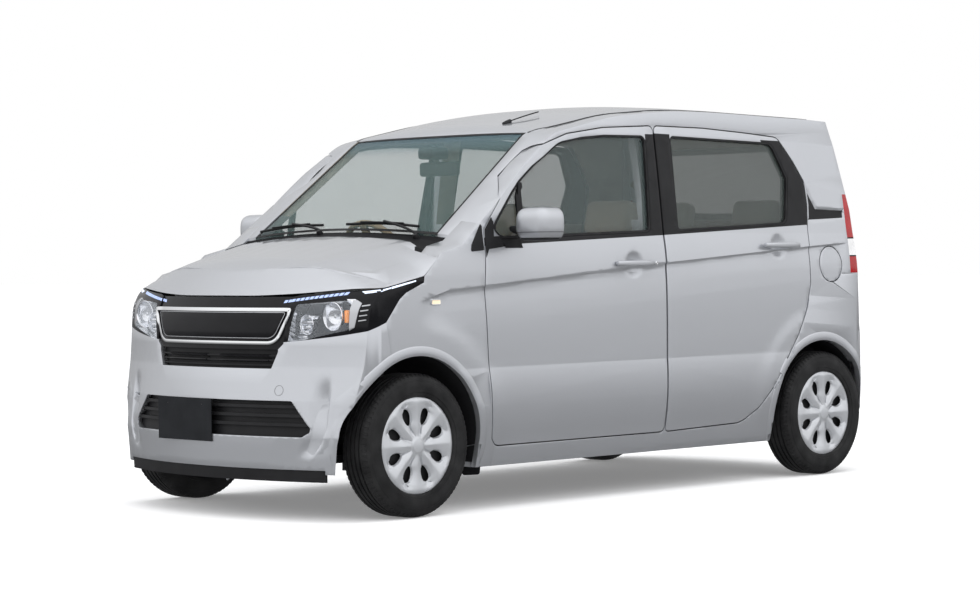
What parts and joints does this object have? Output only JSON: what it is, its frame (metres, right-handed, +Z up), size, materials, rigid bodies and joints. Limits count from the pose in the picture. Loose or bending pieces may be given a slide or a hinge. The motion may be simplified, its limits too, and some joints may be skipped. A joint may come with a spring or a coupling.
{
  "type": "kei car",
  "caption": "Tall five-door kei wagon with opening doors, hood, tailgate and fuel lid, steered front wheels, and a furnished cabin behind clear glass.",
  "frame": {"origin": "on the ground at the middle of the length and the width", "axes": "+X to the left side of the car, +Y rearward, +Z up"},
  "size_m": [1.87, 3.395, 1.6567],
  "materials": {
    "body_paint": "metallic silver",
    "black_trim": "black textured",
    "gloss_black": "gloss black",
    "clear_glass": "clear",
    "privacy_glass": "tinted",
    "lamp_clear": "clear lens",
    "lamp_red": "red lens",
    "steel": "painted",
    "under": "underseal",
    "tyre": "tread",
    "wheel_cover": "silver",
    "dash_plastic": "grained",
    "seat_cloth": "woven",
    "wheel_rim_leather": "satin",
    "plate": "matte"
  },
  "bodies": {
    "body": {"arch_liners": "black_trim", "cowl": "black_trim", "dashboard": "dash_plastic", "engine_block": "steel", "fenders": "body_paint", "front_arms": "steel", "front_bumper": "body_paint", "front_seats": "seat_cloth", "grille_panel": "gloss_black", "headlamps": "lamp_clear", "lower_grille": "black_trim", "number_plate": "plate", "rear_axle": "steel", "rear_bumper": "body_paint", "rear_seats": "seat_cloth", "roof": "body_paint", "side_l": "body_paint", "side_r": "body_paint", "tail_lamps": "lamp_red", "underbody": "under", "windshield": "clear_glass"},
    "door_fl": {"door_front_l": "body_paint", "glass_front_l": "clear_glass", "mirror_l": "body_paint"},
    "door_fr": {"door_front_r": "body_paint", "glass_front_r": "clear_glass", "mirror_r": "body_paint"},
    "door_rl": {"door_rear_l": "body_paint", "glass_rear_l": "privacy_glass"},
    "door_rr": {"door_rear_r": "body_paint", "glass_rear_r": "privacy_glass"},
    "hood": {"hood": "body_paint"},
    "tailgate": {"tailgate": "body_paint", "tailgate_glass": "privacy_glass"},
    "fuel_lid": {"fuel_lid": "body_paint"},
    "steering_wheel": {"steering_wheel": "wheel_rim_leather"},
    "knuckle_left": {"knuckle_l": "steel"},
    "knuckle_right": {"knuckle_r": "steel"},
    "wheel_front_left": {"tyre_fl": "tyre", "wheel_fl": "wheel_cover"},
    "wheel_front_right": {"tyre_fr": "tyre", "wheel_fr": "wheel_cover"},
    "wheel_rear_left": {"tyre_rl": "tyre", "wheel_rl": "wheel_cover"},
    "wheel_rear_right": {"tyre_rr": "tyre", "wheel_rr": "wheel_cover"}
  },
  "joints": [
    {"name": "door_front_left_hinge", "type": "hinge", "parent": "body", "child": "door_fl", "pos_m": [0.738, -0.87, 0.7], "axis": [0, 0, -1], "range_deg": [0, 68]},
    {"name": "door_front_right_hinge", "type": "hinge", "parent": "body", "child": "door_fr", "pos_m": [-0.738, -0.87, 0.7], "axis": [0, 0, 1], "range_deg": [0, 68]},
    {"name": "door_rear_left_hinge", "type": "hinge", "parent": "body", "child": "door_rl", "pos_m": [0.7385, 0.216, 0.7], "axis": [0, 0, -1], "range_deg": [0, 68]},
    {"name": "door_rear_right_hinge", "type": "hinge", "parent": "body", "child": "door_rr", "pos_m": [-0.7385, 0.216, 0.7], "axis": [0, 0, 1], "range_deg": [0, 68]},
    {"name": "hood_hinge", "type": "hinge", "parent": "body", "child": "hood", "pos_m": [0, -0.999, 1.098], "axis": [-1, 0, 0], "range_deg": [0, 50]},
    {"name": "tailgate_hinge", "type": "hinge", "parent": "body", "child": "tailgate", "pos_m": [0, 1.43, 1.642], "axis": [1, 0, 0], "range_deg": [0, 80]},
    {"name": "fuel_lid_hinge", "type": "hinge", "parent": "body", "child": "fuel_lid", "pos_m": [0.735, 1.27, 0.946], "axis": [0, 0, -1], "range_deg": [0, 90]},
    {"name": "steering_left", "type": "hinge", "parent": "body", "child": "knuckle_left", "pos_m": [0.596, -1.222, 0.188], "axis": [-0.2516, 0, 0.9678], "range_deg": [-35, 35]},
    {"name": "steering_right", "type": "hinge", "parent": "body", "child": "knuckle_right", "pos_m": [-0.596, -1.222, 0.188], "axis": [0.2516, 0, 0.9678], "range_deg": [-35, 35]},
    {"name": "steering_column_turn", "type": "hinge", "parent": "body", "child": "steering_wheel", "pos_m": [-0.34, -0.44, 0.985], "axis": [0, 0.891, 0.454], "range_deg": [-561, 561]},
    {"name": "wheel_front_left_spin", "type": "hinge", "parent": "knuckle_left", "child": "wheel_front_left", "pos_m": [0.6525, -1.222, 0.276], "axis": [1, 0, 0], "continuous": true},
    {"name": "wheel_front_right_spin", "type": "hinge", "parent": "knuckle_right", "child": "wheel_front_right", "pos_m": [-0.6525, -1.222, 0.276], "axis": [1, 0, 0], "continuous": true},
    {"name": "wheel_rear_left_spin", "type": "hinge", "parent": "body", "child": "wheel_rear_left", "pos_m": [0.6525, 1.298, 0.276], "axis": [1, 0, 0], "continuous": true},
    {"name": "wheel_rear_right_spin", "type": "hinge", "parent": "body", "child": "wheel_rear_right", "pos_m": [-0.6525, 1.298, 0.276], "axis": [1, 0, 0], "continuous": true}
  ],
  "couplings": [
    {"joint": "steering_right", "follows": "steering_left", "ratio": 1},
    {"joint": "steering_column_turn", "follows": "steering_left", "ratio": 16}
  ]
}
